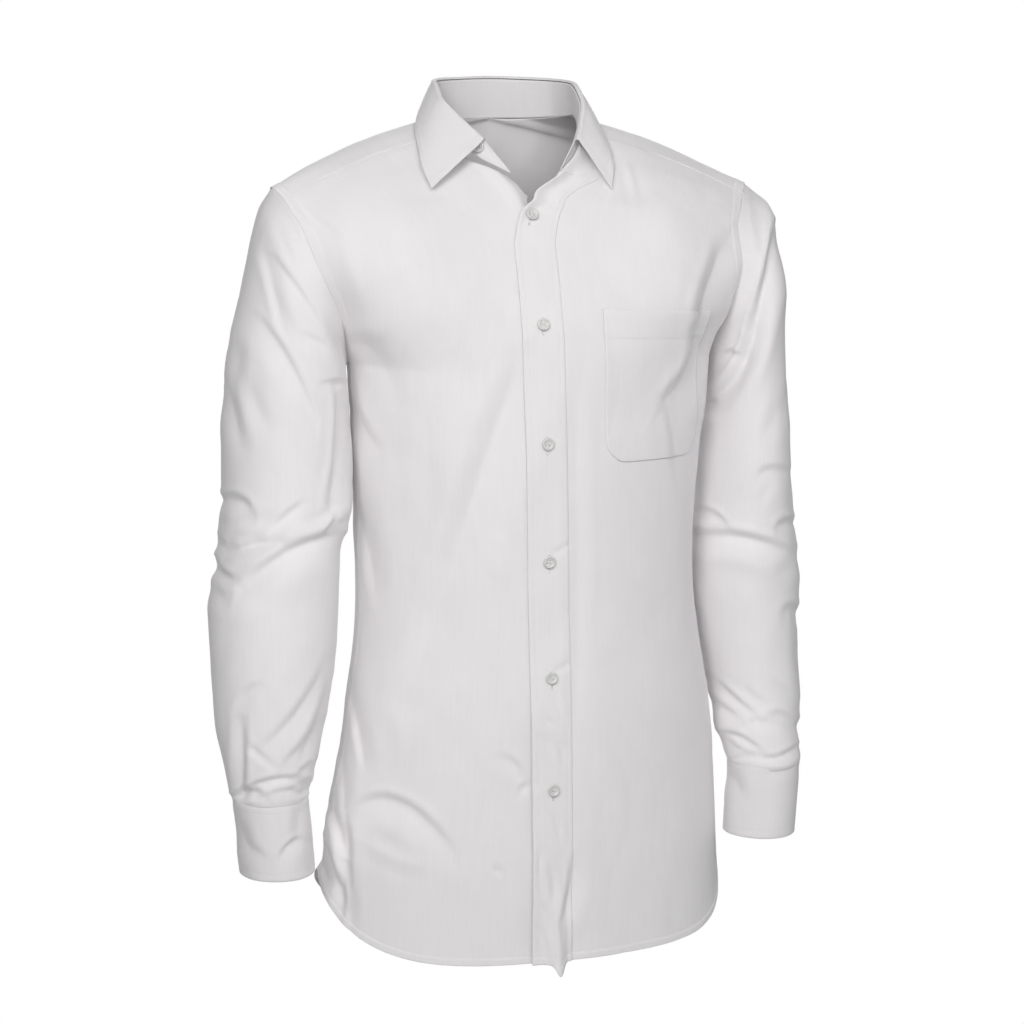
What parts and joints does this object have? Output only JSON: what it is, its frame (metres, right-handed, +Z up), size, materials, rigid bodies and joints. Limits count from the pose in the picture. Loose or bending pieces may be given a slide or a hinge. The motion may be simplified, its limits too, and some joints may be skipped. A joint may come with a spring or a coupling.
{
  "type": "long sleeve dress shirt",
  "caption": "Button-front dress shirt with a turned-down collar, long cuffed sleeves, a back yoke and a chest pocket, filled out as if worn.",
  "frame": {"origin": "the nape: middle of the back neckline, where the wearer's neck and shoulders hold the shirt up", "axes": "+Z up, -Y towards the front, +X towards the wearer's left"},
  "size_m": [0.5718, 0.2394, 0.8457],
  "materials": {
    "white_cotton": "matt white cotton poplin",
    "white_resin": "satin white resin"
  },
  "bodies": {
    "root": {"front_right": "white_cotton", "front_left": "white_cotton", "front_placket": "white_cotton", "pocket": "white_cotton", "back": "white_cotton", "yoke": "white_cotton", "sleeve_right": "white_cotton", "sleeve_left": "white_cotton", "sleeve_placket_right": "white_cotton", "sleeve_placket_left": "white_cotton", "cuff_right": "white_cotton", "cuff_left": "white_cotton", "collar_stand": "white_cotton", "collar_leaf": "white_cotton", "button_front_1": "white_resin", "button_front_2": "white_resin", "button_front_3": "white_resin", "button_front_4": "white_resin", "button_front_5": "white_resin", "button_front_6": "white_resin", "button_stand": "white_resin", "button_cuff_right": "white_resin", "button_cuff_left": "white_resin"}
  },
  "joints": []
}
